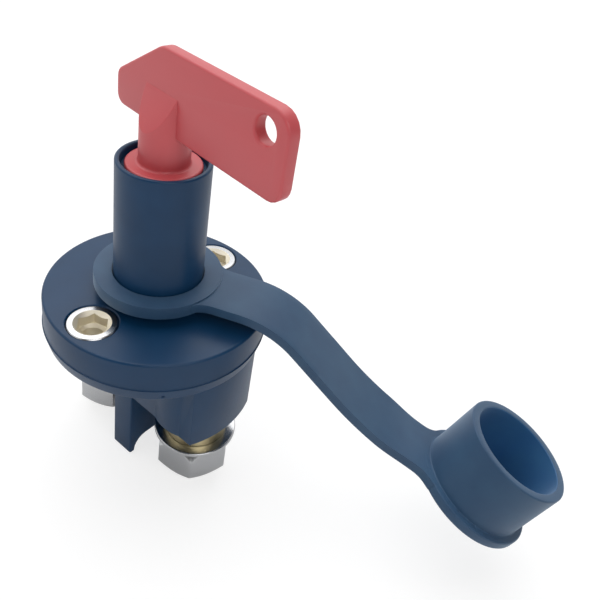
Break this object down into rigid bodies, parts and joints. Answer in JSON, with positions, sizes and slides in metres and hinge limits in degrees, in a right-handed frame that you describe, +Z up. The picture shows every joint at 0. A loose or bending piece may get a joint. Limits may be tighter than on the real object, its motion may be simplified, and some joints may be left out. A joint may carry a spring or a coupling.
{
  "type": "battery isolator switch",
  "caption": "Panel-mounted rotary battery isolator with a removable handled key, two studs for cable lugs either side of a divider, and a dust cap on a strap.",
  "frame": {"origin": "centre of the mounting flange's top face, on the neck's axis", "axes": "+Z up the neck towards the key, +X towards the front terminal, -Y towards the front flange insert"},
  "size_m": [0.1164, 0.0719, 0.1034],
  "materials": {
    "black_plastic": "moulded blue-black glass-filled plastic",
    "rubber": "soft moulded rubber",
    "red_plastic": "coral red moulded plastic",
    "bright_nickel": "bright nickel plate",
    "brass": "turned brass",
    "brushed_steel": "spring steel"
  },
  "bodies": {
    "housing": {"upper_housing": "black_plastic", "lower_housing": "black_plastic", "housing_gasket": "rubber", "mounting_insert_front": "bright_nickel", "mounting_insert_rear": "bright_nickel", "thrust_washer": "brushed_steel", "return_spring": "brushed_steel", "contact_stud_front": "brass", "contact_stud_rear": "brass", "terminal_bush_front": "brass", "terminal_bush_rear": "brass", "terminal_washer_front": "bright_nickel", "terminal_washer_rear": "bright_nickel", "terminal_nut_front": "bright_nickel", "terminal_nut_rear": "bright_nickel"},
    "rotor": {"rotor": "black_plastic", "rotor_seal": "rubber"},
    "key": {"key": "red_plastic"},
    "bridge": {"bridge_carrier": "black_plastic", "pressure_spring": "brushed_steel", "contact_bridge": "brass", "contact_tip_front": "bright_nickel", "contact_tip_rear": "bright_nickel"},
    "ring": {"cap_ring": "rubber"},
    "strap": {"cap_strap": "rubber"},
    "cap": {"dust_cap": "rubber"}
  },
  "joints": [
    {"name": "key_turn", "type": "hinge", "parent": "housing", "child": "rotor", "pos_m": [0, 0, 0], "axis": [0, 0, 1], "range_deg": [-90, 0]},
    {"name": "key_pull", "type": "slide", "parent": "rotor", "child": "key", "axis": [0, 0, 1], "range_m": [0, 0.02]},
    {"name": "bridge_drop", "type": "slide", "parent": "housing", "child": "bridge", "axis": [0, 0, 1], "range_m": [-0.0025, 0], "deforming": ["return_spring"]},
    {"name": "cap_swivel", "type": "hinge", "parent": "housing", "child": "ring", "pos_m": [0, 0, 0.004], "axis": [0, 0, 1], "continuous": true},
    {"name": "strap_flex", "type": "hinge", "parent": "ring", "child": "strap", "pos_m": [0.01586, 0.00654, 0.0051], "axis": [0.3811, -0.9245, 0], "range_deg": [0, 50], "stiffness_Nm_per_rad": 0.05},
    {"name": "cap_flex", "type": "hinge", "parent": "strap", "child": "cap", "pos_m": [0.06013, 0.02478, -0.02092], "axis": [0.3811, -0.9245, 0], "range_deg": [-5, 40], "stiffness_Nm_per_rad": 0.05}
  ],
  "couplings": [
    {"joint": "bridge_drop", "follows": "key_turn", "m_per_rad": 0.0015915}
  ]
}
